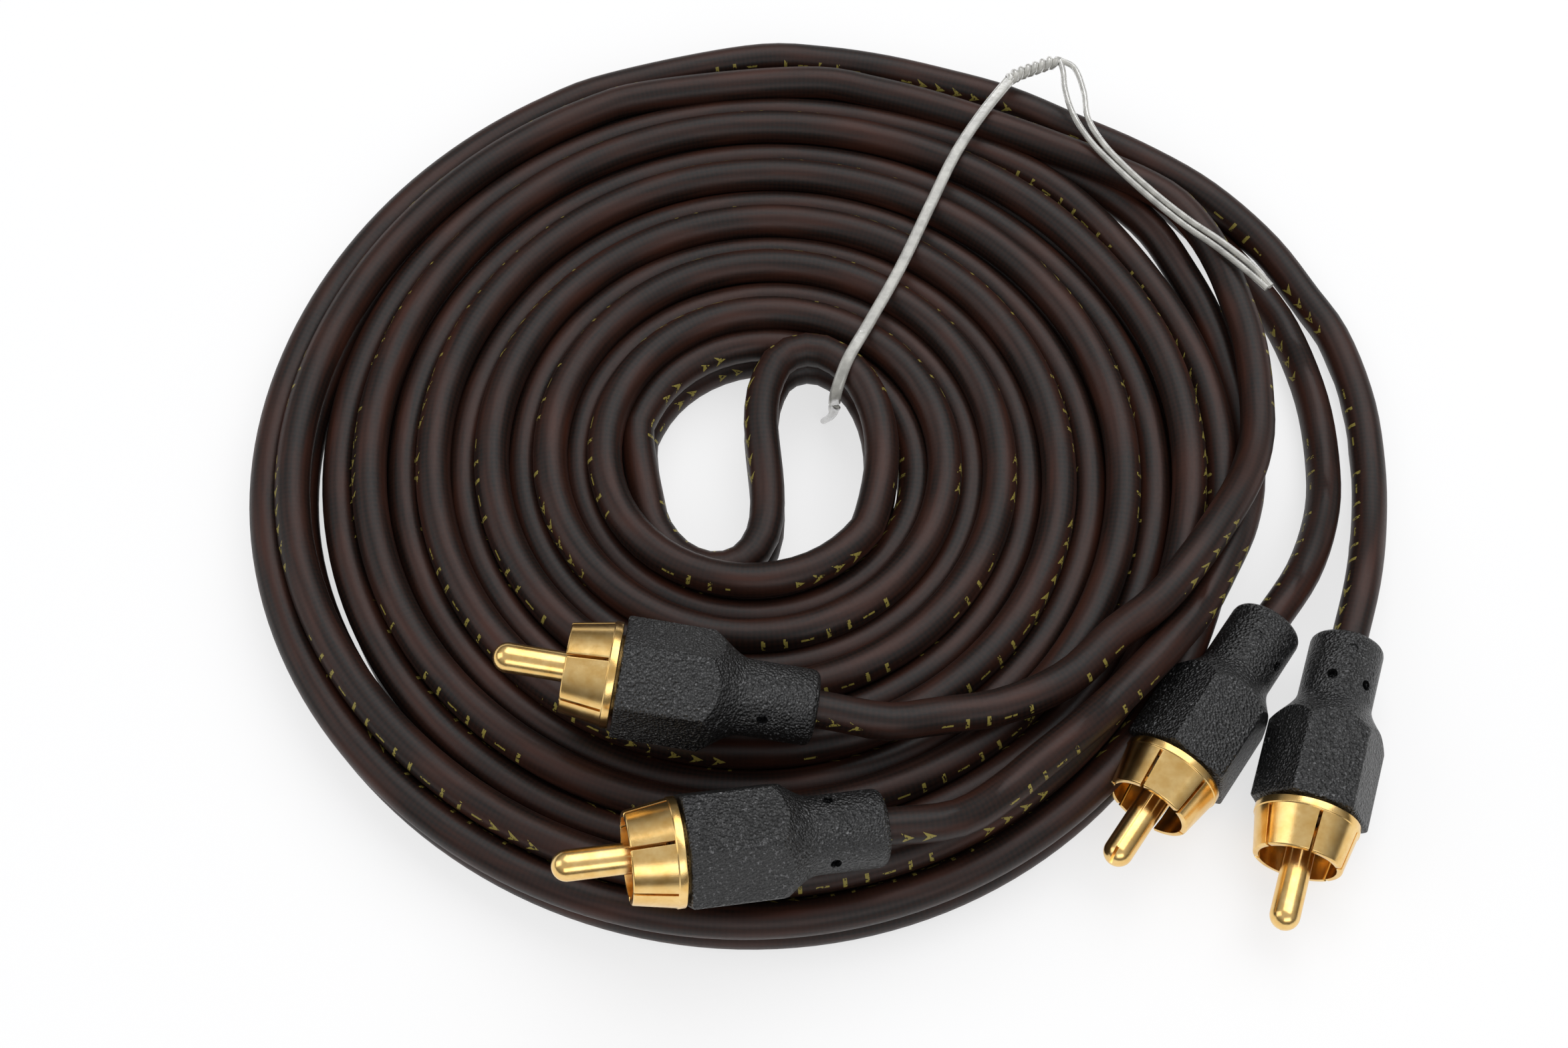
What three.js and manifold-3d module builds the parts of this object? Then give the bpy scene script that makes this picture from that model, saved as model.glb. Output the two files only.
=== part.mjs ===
// Stereo phono lead: a twin audio cable wound flat into a coil, with a moulded phono plug on each
// of its four ends and a clear plastic tie through the coil.
// Millimetres, +Z up, the coil lying on the table.  Places are first given from the eye of the
// coil, and the finished model is then moved so that its bounding box stands centred on the origin.

import * as THREE from 'three';
import { mergeVertices } from 'three/addons/utils/BufferGeometryUtils.js';
import Module from 'manifold-3d';

const wasm = await Module();
wasm.setup();

// Driving dimensions

const clearance = 0.3;          // air between solids that touch on the real lead
const overrun = 1;              // how far a cutting solid stands out of what it cuts
const roundSides = 24;          // facets round the turned pieces
const domeAngles = [20, 40, 60];
const weldTolerance = 1e-4;

// twin cable
const leadRadius = 2.0;         // each round lead of the pair is 4 mm thick
const leadSides = 8;
const leadStep = 4.8 * leadRadius;

// flat coil: the pair stands on edge, one lead above the other, and every second turn rides higher
const coilHeight = 10.0;
const coilEyeRadius = 11.3;
const coilOuterRadius = 58.1;
const coilCentreY = 1.9;        // the outer turns lie a little beyond the eye
const coilEdgeRound = 1.6;
const coilFacets = 64;

// plug, stations measured along its axis from the rear end of the neck
const neckRadius = 4.05;
const neckLength = 7.4;
const neckEdgeRound = 0.5;
const chamferLength = 5.6;      // domed step from the neck up to the corners of the hexagon
const chamferSteps = 5;
const hexAcrossFlats = 11.3;
const bodyLength = 20.9;        // rear end of the neck to the front face of the hexagon
const tipStation = 34.2;
const pinRadius = 1.6;
const pinShankRadius = 1.0;
const pinTailStation = 14.0;
const shellLength = 5.7;        // base ring and cone in front of the body
const shellRingLength = 1.0;
const shellBaseRadius = 5.65;
const shellMouthRadius = 4.75;
const shellWall = 0.7;
const shellTailRadius = 4.3;    // the rear tube held inside the moulding
const shellTailWall = 0.6;
const shellTailLength = 5.4;
const slotCount = 6;
const slotWidth = 0.35;
const slotLength = 4.4;
const jacketDepth = 8.0;        // the cable jacket runs this far into the neck
const coreRadius = 0.95;
const coreLength = 3.2;
const conductorRadius = 0.45;
const shieldWireRadius = 0.4;
const shieldWireOffset = 1.4;   // where the screen leaves the jacket, off the axis
const chamberRadius = 3.7;      // space round the soldered wires
const chamberLength = 4.2;

// clear tie
const strapRadius = 0.55;
const tieTailRadius = 0.35;
const tieTwistRadius = 1.0;
const tieSides = 6;
const tieStep = 4.5;

// Colours

const blackVinyl = { color: 0x232325, roughness: 0.62, metalness: 0 };
const smokedJacket = { color: 0x2b1e1b, roughness: 0.42, metalness: 0 };
const goldPlate = { color: 0xe0b455, roughness: 0.2, metalness: 1 };
const darkInsulator = { color: 0x281a12, roughness: 0.5, metalness: 0 };
const copperWire = { color: 0xb46a3c, roughness: 0.35, metalness: 1 };
const clearPlastic = { color: 0xd8dadb, roughness: 0.25, metalness: 0 };

// a point beside the coil, given by its bearing from the coil's middle and its gap to the edge
function beside(bearing, gap, ...height) {
  const angle = THREE.MathUtils.degToRad(bearing);
  const reach = coilOuterRadius + gap;
  return [reach * Math.cos(angle), coilCentreY + reach * Math.sin(angle), ...height];
}

// Where each plug lies: rear end of its neck, bearing of the nose from +X, nose lift, turn of the
// hexagon about the axis, and the height of what it lies on

const tableTop = 0;
const plugPlaces = [
  { at: beside(-80.51, -21.70), bearing: 172.9, lift: 7.5, roll: 38, surface: coilHeight },
  { at: beside(-75.19, -7.62), bearing: -170.3, lift: 7.5, roll: 8, surface: coilHeight },
  { at: beside(-21.436, 2.92), bearing: -125.1, lift: 1.5, roll: 41, surface: tableTop },
  { at: beside(-20.585, 11.867), bearing: -108.4, lift: 0, roll: -3, surface: tableTop },
];

// The loose ends of the leads, from the coil to the plug

const leadRoutes = [
  [[50.6, -11.5, 12.3], [47.9, -15.4, 13.0], [43.3, -20.8, 13.0], [38.5, -24.4, 12.3],
    [33.3, -29.2, 12.0], [26.0, -32.6, 12.1], [18.8, -34.0, 12.8]],
  [[40.5, -29.4, 12.0], [36.7, -33.1, 12.0], [32.9, -36.3, 12.0], [29.2, -39.3, 12.0],
    [25.8, -42.2, 12.2]],
  [
    beside(49.531, 2.76, 2.0), beside(42.028, 4.634, 2.0), beside(32.005, 6.051, 2.0),
    beside(20.556, 7.689, 2.0), beside(16.005, 8.273, 2.0), beside(7.68, 8.497, 2.0),
    beside(-0.173, 8.1, 2.4), beside(-6.234, 7.287, 3.8),
  ],
  [
    beside(49.234, 2.239, 6.3), beside(41.634, 4.516, 6.3), beside(33.593, 7.688, 5.6),
    beside(25.276, 11.459, 3.0), beside(18.973, 12.643, 2.1), beside(14.772, 13.672, 2.0),
    beside(7.095, 13.952, 2.0), beside(-0.16, 13.5, 2.1), beside(-6.804, 12.799, 3.4),
  ],
];

// The pair crosses the eye of the coil in an S

const crossing = [[0.5, -8.9], [0.8, -5.5], [0.6, -1.1], [0.0, 3.1], [0.1, 7.2], [1.6, 12.2]];
const crossingHeights = { lower: [2.0, 4.0], upper: [6.0, 8.0] };

// The tie: a strap from the eye over the turns, a twist beyond the edge, and two loose tails

const strapRoute = [
  [7.7, 8.8, 0.8], [8.2, 8.0, 3.0], [8.6, 7.4, 5.5], [8.7, 7.6, 9.0],
  [9.9, 10.5, 10.6], [12.8, 14.8, 10.6], [16.4, 23.7, 10.6],
  beside(56.70, -21.13, 10.6), beside(58.54, -12.50, 10.6), beside(58.76, -5.47, 10.6),
  beside(58.42, 0.71, 10.6),
];
const twistRoute = [beside(58.31, 2.43, 9.9), beside(55.40, 8.11, 9.2)];
const tailRoutes = [
  [
    beside(54.17, 6.65, 9.4), beside(52.45, 4.08, 9.9), beside(49.05, 0.95, 10.5),
    beside(44.72, -0.82, 10.7), beside(40.36, -1.27, 10.7), beside(34.58, -1.01, 10.7),
    beside(29.21, 0.10, 10.7), beside(24.73, 1.90, 10.7), beside(20.58, 3.64, 10.7),
    beside(17.83, 4.93, 10.6),
  ],
  [
    beside(53.67, 8.06, 9.4), beside(50.69, 5.36, 9.9), beside(47.49, 2.13, 10.5),
    beside(44.10, 0.53, 10.7), beside(40.17, -0.12, 10.7), beside(34.70, 0.04, 10.7),
    beside(29.51, 1.19, 10.7), beside(25.06, 3.06, 10.7), beside(20.85, 4.82, 10.7),
    beside(18.07, 6.06, 10.6),
  ],
];

// Shapes

function tidy(geometry) {
  geometry.deleteAttribute('normal');
  geometry.deleteAttribute('uv');
  return mergeVertices(geometry, weldTolerance);
}

// a turned solid about +X from [station, radius] corners, which run rearward along the outside
function turned(corners, closed = false) {
  const profile = corners.map(([station, radius]) => new THREE.Vector2(radius, station));
  if (closed) profile.push(profile[0].clone());
  const lathe = new THREE.LatheGeometry(profile, roundSides);
  lathe.rotateZ(-Math.PI / 2);
  return tidy(lathe);
}

function hexagonPrism(acrossFlats, start, length) {
  const prism = new THREE.CylinderGeometry(acrossFlats / Math.sqrt(3), acrossFlats / Math.sqrt(3), length, 6);
  prism.rotateY(Math.PI / 6);
  prism.rotateZ(-Math.PI / 2);
  prism.translate(start + length / 2, 0, 0);
  return tidy(prism);
}

function toSolid(geometry) {
  return new wasm.Manifold(new wasm.Mesh({
    numProp: 3,
    vertProperties: new Float32Array(geometry.attributes.position.array),
    triVerts: new Uint32Array(geometry.index.array),
  }));
}

function fromSolid(solid) {
  const mesh = solid.getMesh();
  const geometry = new THREE.BufferGeometry();
  geometry.setAttribute('position', new THREE.BufferAttribute(new Float32Array(mesh.vertProperties), 3));
  geometry.setIndex(new THREE.BufferAttribute(new Uint32Array(mesh.triVerts), 1));
  return geometry;
}

function roundSection(radius, sides) {
  const corners = [];
  for (let side = 0; side < sides; side += 1) {
    const angle = ((side + 0.5) / sides) * 2 * Math.PI;
    corners.push(new THREE.Vector2(radius * Math.cos(angle), radius * Math.sin(angle)));
  }
  return new THREE.Shape(corners);
}

function tubeAlong(points, radius, sides, step) {
  const route = new THREE.CatmullRomCurve3(points.map((p) => new THREE.Vector3(...p)), false, 'centripetal');
  const steps = Math.max(1, Math.round(route.getLength() / step));
  return new THREE.ExtrudeGeometry(roundSection(radius, sides), { steps, extrudePath: route });
}

function named(name, geometry, look) {
  const mesh = new THREE.Mesh(geometry, new THREE.MeshStandardMaterial(look));
  mesh.name = name;
  return mesh;
}

// Coil: a flat ring with eased edges round an open eye, dented where a plug lies against its turns

function coilRing(dents) {
  const top = coilHeight - clearance;
  const profile = [
    [coilEyeRadius, 0],
    [coilOuterRadius - coilEdgeRound, 0],
    [coilOuterRadius, coilEdgeRound],
    [coilOuterRadius, top - coilEdgeRound],
    [coilOuterRadius - coilEdgeRound, top],
    [coilEyeRadius + coilEdgeRound, top],
    [coilEyeRadius, top - coilEdgeRound],
    [coilEyeRadius, 0],
  ];
  const ring = new THREE.LatheGeometry(profile.map(([r, z]) => new THREE.Vector2(r, z)), coilFacets);
  ring.rotateX(Math.PI / 2);
  ring.translate(0, coilCentreY, 0);
  return fromSolid(dents.reduce((solid, dent) => solid.subtract(toSolid(dent)), toSolid(tidy(ring))));
}

// Moulded boot: a round neck, a chamfer that cuts the corners of the hexagon in arcs, and a
// stepped bore for the jacket, the soldered wires and the tail of the shell

const hexCornerRadius = hexAcrossFlats / Math.sqrt(3);
const seatRadius = shellTailRadius + clearance;
const wireStart = jacketDepth + clearance;
const seatStation = wireStart + chamberLength;

function domedChamfer() {
  const rise = hexCornerRadius + clearance - neckRadius;
  return Array.from({ length: chamferSteps + 1 }, (_, step) => {
    const share = step / chamferSteps;
    return [neckLength + chamferLength * share, neckRadius + rise * share * share * (3 - 2 * share)];
  });
}

function bootMoulding() {
  const outline = toSolid(turned([
    [0, 0],
    [0, neckRadius - neckEdgeRound],
    [neckEdgeRound, neckRadius],
    ...domedChamfer(),
    [bodyLength, hexCornerRadius + clearance],
    [bodyLength, 0],
  ]));
  const hexagon = toSolid(hexagonPrism(hexAcrossFlats, neckLength - overrun, bodyLength));
  const neck = toSolid(turned([
    [-overrun, 0],
    [-overrun, neckRadius + clearance],
    [neckLength, neckRadius + clearance],
    [neckLength, 0],
  ]));
  const bore = toSolid(turned([
    [-overrun, 0],
    [-overrun, leadRadius + clearance],
    [wireStart, leadRadius + clearance],
    [wireStart, chamberRadius],
    [seatStation, chamberRadius],
    [seatStation, seatRadius],
    [bodyLength + overrun, seatRadius],
    [bodyLength + overrun, 0],
  ]));
  return fromSolid(outline.intersect(hexagon.add(neck)).subtract(bore));
}

// Ground shell: base ring, slotted cone and the tube that the moulding grips

const shellStart = bodyLength + clearance;
const mouthStation = bodyLength + shellLength;
const shellTailStart = shellStart - shellTailLength;
const shellTailBore = shellTailRadius - shellTailWall;

function groundShell() {
  const body = toSolid(turned([
    [shellTailStart, shellTailBore],
    [shellTailStart, shellTailRadius],
    [shellStart, shellTailRadius],
    [shellStart, shellBaseRadius],
    [shellStart + shellRingLength, shellBaseRadius],
    [mouthStation, shellMouthRadius],
    [mouthStation, shellMouthRadius - shellWall],
    [shellStart + shellRingLength, shellBaseRadius - shellWall],
    [shellStart + shellRingLength, shellTailBore],
  ], true));
  let slotted = body;
  for (let pair = 0; pair < slotCount / 2; pair += 1) {
    const slot = new THREE.BoxGeometry(slotLength + overrun, slotWidth, 4 * shellBaseRadius);
    slot.translate(mouthStation + (overrun - slotLength) / 2, 0, 0);
    slot.rotateX(((pair + 0.5) / (slotCount / 2)) * Math.PI);
    slotted = slotted.subtract(toSolid(tidy(slot)));
  }
  return fromSolid(slotted);
}

// Insulating bush that holds the pin in the tail of the shell

function bush() {
  const front = shellStart + shellRingLength;
  return turned([
    [shellTailStart, pinShankRadius + clearance],
    [shellTailStart, shellTailBore - clearance],
    [front, shellTailBore - clearance],
    [front, pinShankRadius + clearance],
  ], true);
}

// Centre pin with a domed tip and a thinner shank behind the bush

function centrePin() {
  const shoulder = shellStart + shellRingLength + clearance;
  const dome = domeAngles.map((degrees) => {
    const angle = THREE.MathUtils.degToRad(degrees);
    return [tipStation - pinRadius + pinRadius * Math.sin(angle), pinRadius * Math.cos(angle)];
  });
  return turned([
    [pinTailStation, 0],
    [pinTailStation, pinShankRadius],
    [shoulder, pinShankRadius],
    [shoulder, pinRadius],
    [tipStation - pinRadius, pinRadius],
    ...dome,
    [tipStation, 0],
  ]);
}

// Jacket end inside the neck, then the core up to the pin and the screen out to the shell

function jacketEnd() {
  return turned([[0, 0], [0, leadRadius], [jacketDepth, leadRadius], [jacketDepth, 0]]);
}

function coreWire() {
  return turned([
    [wireStart, 0],
    [wireStart, coreRadius],
    [wireStart + coreLength, coreRadius],
    [wireStart + coreLength, conductorRadius],
    [pinTailStation - clearance, conductorRadius],
    [pinTailStation - clearance, 0],
  ]);
}

function shieldWire() {
  const from = new THREE.Vector3(wireStart + clearance / 2, shieldWireOffset, 0);
  const to = new THREE.Vector3(shellTailStart - clearance, shellTailRadius - shieldWireRadius, 0);
  const wire = new THREE.CylinderGeometry(shieldWireRadius, shieldWireRadius, from.distanceTo(to), leadSides);
  wire.rotateZ(-Math.PI / 2 + Math.atan2(to.y - from.y, to.x - from.x));
  wire.translate((from.x + to.x) / 2, (from.y + to.y) / 2, 0);
  return wire;
}

// Plug assembly, the same four times

const plugPieces = [
  ['boot', bootMoulding, blackVinyl],
  ['ground_shell', groundShell, goldPlate],
  ['insulator', bush, darkInsulator],
  ['centre_pin', centrePin, goldPlate],
  ['jacket_end', jacketEnd, smokedJacket],
  ['core_wire', coreWire, copperWire],
  ['shield_wire', shieldWire, copperWire],
];

function plugAssembly(number, place) {
  const plug = new THREE.Group();
  for (const [name, shape, look] of plugPieces) plug.add(named(`plug_${number}_${name}`, shape(), look));
  plug.rotation.set(
    THREE.MathUtils.degToRad(place.roll),
    THREE.MathUtils.degToRad(-place.lift),
    THREE.MathUtils.degToRad(place.bearing),
    'ZYX',
  );
  plug.updateMatrixWorld(true);
  const lowest = new THREE.Box3().setFromObject(plug, true).min.z;
  plug.position.set(...place.at, place.surface - lowest);
  plug.updateMatrixWorld(true);
  return plug;
}

// room that a plug takes out of the soft coil beside it
function plugRoom(plug) {
  const start = -clearance;
  const room = hexagonPrism(hexAcrossFlats + 2 * clearance, start, bodyLength + shellLength + 2 * clearance);
  return room.applyMatrix4(plug.matrixWorld);
}

// Assembly

const lead = new THREE.Group();
const plugs = plugPlaces.map((place, index) => plugAssembly(index + 1, place));
const besideCoil = plugs.filter((_, index) => plugPlaces[index].surface < coilHeight);

lead.add(named('cable_coil', coilRing(besideCoil.map(plugRoom)), smokedJacket));

for (const [level, [nearHeight, farHeight]] of Object.entries(crossingHeights)) {
  const last = crossing.length - 1;
  const points = crossing.map(([x, y], i) => [x, y, nearHeight + ((farHeight - nearHeight) * i) / last]);
  const run = tubeAlong(points, leadRadius, leadSides, leadStep);
  lead.add(named(`cable_crossing_${level}`, run, smokedJacket));
}

plugs.forEach((plug, index) => {
  const behind = [2 * neckRadius, clearance].map((distance) => new THREE.Vector3(-distance, 0, 0));
  const approach = behind.map((point) => plug.localToWorld(point).toArray());
  const run = tubeAlong([...leadRoutes[index], ...approach], leadRadius, leadSides, leadStep);
  lead.add(plug);
  lead.add(named(`cable_tail_${index + 1}`, run, smokedJacket));
});

lead.add(named('tie_strap', tubeAlong(strapRoute, strapRadius, tieSides, tieStep), clearPlastic));
lead.add(named('tie_twist', tubeAlong(twistRoute, tieTwistRadius, tieSides, tieStep), clearPlastic));
tailRoutes.forEach((route, index) => {
  lead.add(named(`tie_tail_${index + 1}`, tubeAlong(route, tieTailRadius, tieSides, tieStep), clearPlastic));
});

// Stand the bounding box on the origin

const box = new THREE.Box3().setFromObject(lead, true);
const centre = box.getCenter(new THREE.Vector3());
lead.position.set(-centre.x, -centre.y, -box.min.z);
lead.updateMatrixWorld(true);

export default lead;
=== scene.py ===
# Stereo phono lead: twin cable wound flat, a moulded plug on each of its four ends, clear tie.
# Routes and sizes are given in millimetres and turned into metres where a mesh is made.

import math

import bpy
from mathutils import Matrix, Vector


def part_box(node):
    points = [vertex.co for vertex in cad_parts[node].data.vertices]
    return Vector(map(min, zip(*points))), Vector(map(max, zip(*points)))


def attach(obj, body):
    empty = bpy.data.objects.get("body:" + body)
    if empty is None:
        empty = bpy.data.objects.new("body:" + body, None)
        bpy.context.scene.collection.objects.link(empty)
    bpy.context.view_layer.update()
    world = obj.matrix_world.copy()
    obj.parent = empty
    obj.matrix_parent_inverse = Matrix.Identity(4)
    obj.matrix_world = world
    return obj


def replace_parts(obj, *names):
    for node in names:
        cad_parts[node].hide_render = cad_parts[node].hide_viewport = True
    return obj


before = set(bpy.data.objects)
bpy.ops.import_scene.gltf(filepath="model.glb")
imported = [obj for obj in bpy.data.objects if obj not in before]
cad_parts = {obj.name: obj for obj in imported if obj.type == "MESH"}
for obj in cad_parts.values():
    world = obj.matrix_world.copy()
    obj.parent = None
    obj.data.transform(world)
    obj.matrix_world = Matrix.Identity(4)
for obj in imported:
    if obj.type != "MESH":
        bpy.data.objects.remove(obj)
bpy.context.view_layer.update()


# Cable jacket

# Each lead has a round jacket of smoke-brown, half clear vinyl, drawn over a braided copper screen.
# A row of marks was printed along one side with a wheel before the cable was wound up.
MM = 0.001


def colour(code):
    """An sRGB hex colour as Blender's linear one."""
    parts = [int(code[i:i + 2], 16) / 255 for i in (1, 3, 5)]
    return [p / 12.92 if p <= 0.04045 else ((p + 0.055) / 1.055) ** 2.4 for p in parts] + [1.0]


def material(name, shade, roughness, **sockets):
    made = bpy.data.materials.new(name)
    made.use_nodes = True
    made.diffuse_color = colour(shade)
    shader = made.node_tree.nodes["Principled BSDF"]
    shader.inputs["Base Color"].default_value = colour(shade)
    shader.inputs["Roughness"].default_value = roughness
    for socket, value in sockets.items():
        shader.inputs[socket.replace("_", " ")].default_value = value
    return made


def add(look, kind, sockets, out=0, **settings):
    """Adds a node: sockets take values or other nodes' outputs. Gives the node's output."""
    node = look.node_tree.nodes.new("ShaderNode" + kind)
    for name, value in settings.items():
        setattr(node, name, value)
    for name, value in sockets.items():
        if isinstance(value, bpy.types.NodeSocket):
            look.node_tree.links.new(value, node.inputs[name])
        else:
            node.inputs[name].default_value = value
    return node.outputs[out]


def join(look, output, socket):
    look.node_tree.links.new(output, look.node_tree.nodes["Principled BSDF"].inputs[socket])


def millimetres(look):
    """Places on the object, in millimetres, for patterns of a real size."""
    place = add(look, "TexCoord", {}, "Object")
    return add(look, "VectorMath", {0: place, "Scale": 1 / MM}, operation="SCALE")


PRINT_HEIGHT = 1.3              # of the marks, round the lead
PRINT_MIDDLE = 1.0              # round the lead from its side, upward
MARK_PITCH = 2.3
GROUP_MARKS = 22                # marks in one repeat: arrowheads first, then a gap, then bars
ARROWS_END = 5.5
BARS_START = 8.5
WORN_SPECK = 0.35
SKIPPED_LENGTH = 14


def printed(look, run, girth):
    """1 where there is ink, from the places along and round the lead."""
    count = add(look, "Math", {0: run, 1: MARK_PITCH}, operation="DIVIDE")
    whole = add(look, "Math", {0: count}, operation="FLOOR")
    index = add(look, "Math", {0: whole, 1: GROUP_MARKS}, operation="MODULO")
    along = add(look, "Math", {0: count}, operation="FRACT")
    above = add(look, "Math", {0: girth, 1: PRINT_MIDDLE}, operation="SUBTRACT")
    side = add(look, "Math", {0: above, 1: PRINT_HEIGHT / 2}, operation="DIVIDE")
    away = add(look, "Math", {0: side}, operation="ABSOLUTE")
    inside = add(look, "Math", {0: away, 1: 1.0}, operation="LESS_THAN")
    # arrowhead: wide at its tail, a notch behind, a point ahead
    point = add(look, "Math", {0: away, 1: -0.62, 2: 0.72}, operation="MULTIPLY_ADD")
    ahead = add(look, "Math", {0: along, 1: point}, operation="LESS_THAN")
    notch = add(look, "Math", {0: away, 1: -0.22, 2: 0.30}, operation="MULTIPLY_ADD")
    behind = add(look, "Math", {0: along, 1: notch}, operation="GREATER_THAN")
    arrow = add(look, "Math", {0: ahead, 1: behind}, operation="MULTIPLY")
    early = add(look, "Math", {0: index, 1: ARROWS_END}, operation="LESS_THAN")
    arrows = add(look, "Math", {0: arrow, 1: early}, operation="MULTIPLY")
    # bar: a short upright mark, every third one lying down
    upright = add(look, "Math", {0: along, 1: 0.5, 2: 0.09}, operation="COMPARE")
    wide = add(look, "Math", {0: along, 1: 0.5, 2: 0.3}, operation="COMPARE")
    thin = add(look, "Math", {0: away, 1: 0.2}, operation="LESS_THAN")
    lying = add(look, "Math", {0: wide, 1: thin}, operation="MULTIPLY")
    turn = add(look, "Math", {0: index, 1: 3.0}, operation="MODULO")
    third = add(look, "Math", {0: turn, 1: 0.5}, operation="LESS_THAN")
    bar = add(look, "Mix", {0: third, 2: upright, 3: lying})
    late = add(look, "Math", {0: index, 1: BARS_START}, operation="GREATER_THAN")
    bars = add(look, "Math", {0: bar, 1: late}, operation="MULTIPLY")
    ink = add(look, "Math", {0: arrows, 1: bars}, operation="ADD")
    # rubbed off in specks, and left out where the printing wheel skipped
    specks = add(look, "TexNoise", {"Vector": millimetres(look), "Scale": 1 / WORN_SPECK})
    worn = add(look, "Math", {0: specks, 1: 0.43}, operation="GREATER_THAN")
    skips = add(look, "TexNoise", {"W": run, "Scale": 1 / SKIPPED_LENGTH}, noise_dimensions="1D")
    pressed = add(look, "Math", {0: skips, 1: 0.45}, operation="GREATER_THAN")
    for share in (inside, worn, pressed):
        ink = add(look, "Math", {0: ink, 1: share}, operation="MULTIPLY")
    return ink


STREAK_SCALE = (0.12, 0.8, 1.0)  # streaks of 13 mm along the lead by 2 mm round it
STREAK_PERIOD = 1.6
BRAID_WAVE = 5.2                # radians for each mm: strands 0.85 mm apart, coarser than real to show
JACKET_GRAIN = 0.5
JACKET_RELIEF = 0.015


def smoked_vinyl():
    """Dark and softly glossy: the copper shimmers through it in streaks, over a faint braid."""
    look = material("smoked_jacket", "#18100d", 0.45, Specular_IOR_Level=0.3)
    uv = add(look, "UVMap", {}, uv_map="run")
    split = add(look, "SeparateXYZ", {"Vector": uv}).node.outputs
    run, girth = split["X"], split["Y"]
    stretched = add(look, "Mapping", {"Vector": uv, "Scale": STREAK_SCALE})
    cloud = add(look, "TexNoise", {"Vector": stretched, "Scale": 1 / STREAK_PERIOD, "Detail": 3.0})
    share = add(look, "MapRange", {"Value": cloud, "From Min": 0.42, "From Max": 0.72})
    shimmer = add(look, "Mix", {0: share, 6: colour("#100c0a"), 7: colour("#3a1d13")}, 2, data_type="RGBA")
    # two crossing families of strands
    waves = []
    for way in ("ADD", "SUBTRACT"):
        across = add(look, "Math", {0: run, 1: girth}, operation=way)
        phase = add(look, "Math", {0: across, 1: BRAID_WAVE}, operation="MULTIPLY")
        waves.append(add(look, "Math", {0: phase}, operation="SINE"))
    crossed = add(look, "Math", {0: waves[0], 1: waves[1]}, operation="MULTIPLY")
    braid = add(look, "Math", {0: crossed, 1: 0.15, 2: 0.15}, operation="MULTIPLY_ADD")
    braided = add(look, "Mix", {0: braid, 6: shimmer, 7: colour("#3f2318")}, 2, data_type="RGBA")
    ink = printed(look, run, girth)
    shade = add(look, "Mix", {0: ink, 6: braided, 7: colour("#8a7e3c")}, 2, data_type="RGBA")
    join(look, shade, "Base Color")
    grain = add(look, "TexNoise", {"Vector": uv, "Scale": 1 / JACKET_GRAIN, "Detail": 4.0, "Roughness": 0.6})
    join(look, add(look, "Math", {0: grain, 1: 0.2, 2: 0.34}, operation="MULTIPLY_ADD"), "Roughness")
    join(look, add(look, "Bump", {"Height": grain, "Distance": JACKET_RELIEF * MM}), "Normal")
    return look


jacket = smoked_vinyl()


# The two leads

# Each lead is one round wire of the twin cable, about 3 m from plug to plug through the eye.  The
# web that joined the pair was torn apart near the plugs, and leaves a ragged ridge on each lead.
def mid(node):
    """Middle of a CAD node's box, in millimetres."""
    low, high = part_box(node)
    return (Vector(low) + Vector(high)) / (2 * MM)


# routes are given from the eye of the coil, whose outer edge is centred a little beyond it
COIL_CENTRE_Y = 1.9
EYE = Vector((mid("cable_coil").x, mid("cable_coil").y - COIL_CENTRE_Y, 0))


def metres(points):
    return [(Vector(p) + EYE) * MM for p in points]


# bearing and lift of each plug's axis, and its turn about that axis, in degrees
PLUG_ANGLES = {1: (172.9, 7.5, 38), 2: (-170.3, 7.5, 8), 3: (-125.1, 1.5, 41), 4: (-108.4, 0, -3)}
JACKET_DEPTH = 8.0


def plug_turn(number):
    bearing, lift, roll = (math.radians(a) for a in PLUG_ANGLES[number])
    return Matrix.Rotation(bearing, 3, "Z") @ Matrix.Rotation(-lift, 3, "Y") @ Matrix.Rotation(roll, 3, "X")


def plug_point(number, station):
    """A point on a plug's axis, that far from the rear end of its neck, in the frame."""
    jacket_middle = mid(f"plug_{number}_jacket_end")
    return jacket_middle + plug_turn(number) @ Vector((station - JACKET_DEPTH / 2, 0, 0))


LEAD_RADIUS = 2.0
LEAD_SIDES = 24
LEAD_STEP = 2.0
TURN_STATIONS = 60              # points in one turn
NECK_RADIUS = 4.05

# heights of the two leads' middles: the high half of the cable rides in the valleys of the low
HIGH = {"upper": 8.0, "lower": 4.0}
LOW = {"upper": 6.0, "lower": 2.0}
FIRST_RADIUS = 13.3
TURN_SPACING = 6.06
LOOSENING = 0.127               # the turns lie further apart toward the outside
# how many turns out each half starts and ends
HIGH_TURNS = (0.36, 5.95)
LOW_TURNS = (0.30, 6.44)


def bell(x, middle, width):
    return math.exp(-((x - middle) / width) ** 2)


def wander(turns, seed, size):
    """Slow, small unevenness of hand-wound turns."""
    waves = ((1.37, 1.0), (2.23, 0.6), (3.71, 0.35))
    return size * sum(w * math.sin(2 * math.pi * f * turns + seed * (1.7 + f)) for f, w in waves)


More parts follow.
